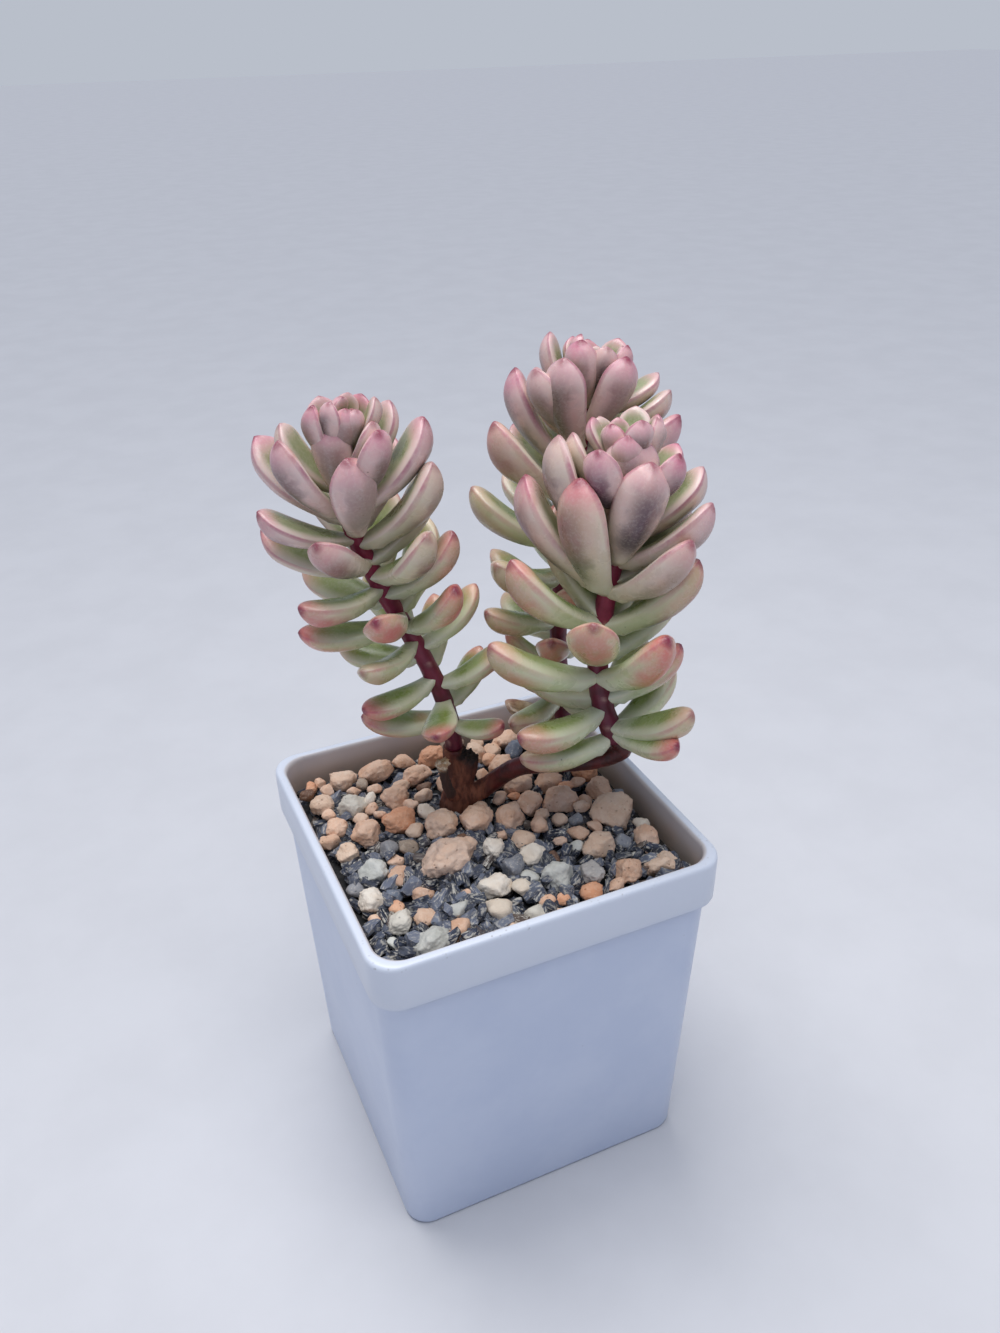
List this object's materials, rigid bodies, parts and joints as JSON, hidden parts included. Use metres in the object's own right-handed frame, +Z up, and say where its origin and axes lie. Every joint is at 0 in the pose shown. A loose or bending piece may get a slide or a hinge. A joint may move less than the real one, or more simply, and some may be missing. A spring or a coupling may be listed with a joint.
{
  "type": "potted variegated sedum",
  "caption": "small succulent with fat pointed leaves in pale and green rosettes on leafy stems from one woody trunk, rooted in grit in a square tapered nursery pot",
  "frame": {"origin": "middle of the pot's underside, on the surface that it stands on", "axes": "+Z up along the pot's middle line, -Y out of the pot's front rim face, +X to the right of that face"},
  "size_m": [0.0631, 0.055, 0.1286],
  "materials": {
    "pot": "satin",
    "grit": "matte",
    "stone_peach": "matte",
    "stone_tan": "matte",
    "stone_cream": "matte",
    "stone_grey": "matte",
    "stone_slate": "satin",
    "bark": "matte",
    "leaf": "satin"
  },
  "bodies": {
    "root": {"pot": "pot", "trunk": "bark", "grit_bed": "grit", "stone_peach_01": "stone_peach", "stone_tan_02": "stone_tan", "stone_tan_03": "stone_tan", "stone_tan_04": "stone_tan", "stone_tan_05": "stone_tan", "stone_tan_06": "stone_tan", "stone_tan_07": "stone_tan", "stone_tan_08": "stone_tan", "stone_tan_09": "stone_tan", "stone_tan_10": "stone_tan", "stone_tan_11": "stone_tan", "stone_tan_12": "stone_tan", "stone_tan_13": "stone_tan", "stone_tan_14": "stone_tan", "stone_tan_15": "stone_tan", "stone_cream_16": "stone_cream", "stone_cream_17": "stone_cream", "stone_cream_18": "stone_cream", "stone_grey_19": "stone_grey", "stone_grey_20": "stone_grey", "stone_grey_21": "stone_grey", "stone_grey_22": "stone_grey", "stone_tan_23": "stone_tan", "stone_tan_24": "stone_tan", "stone_tan_25": "stone_tan", "stone_tan_26": "stone_tan", "stone_tan_27": "stone_tan", "stone_tan_28": "stone_tan", "stone_tan_29": "stone_tan", "stone_tan_30": "stone_tan", "stone_tan_31": "stone_tan", "stone_cream_32": "stone_cream", "stone_grey_33": "stone_grey", "stone_slate_34": "stone_slate", "stone_slate_35": "stone_slate", "stone_tan_36": "stone_tan", "stone_tan_37": "stone_tan", "stone_tan_38": "stone_tan", "stone_slate_39": "stone_slate", "stone_tan_40": "stone_tan", "leafy_stem_left": "leaf", "leafy_stem_front": "leaf", "leafy_stem_back": "leaf"}
  },
  "joints": []
}
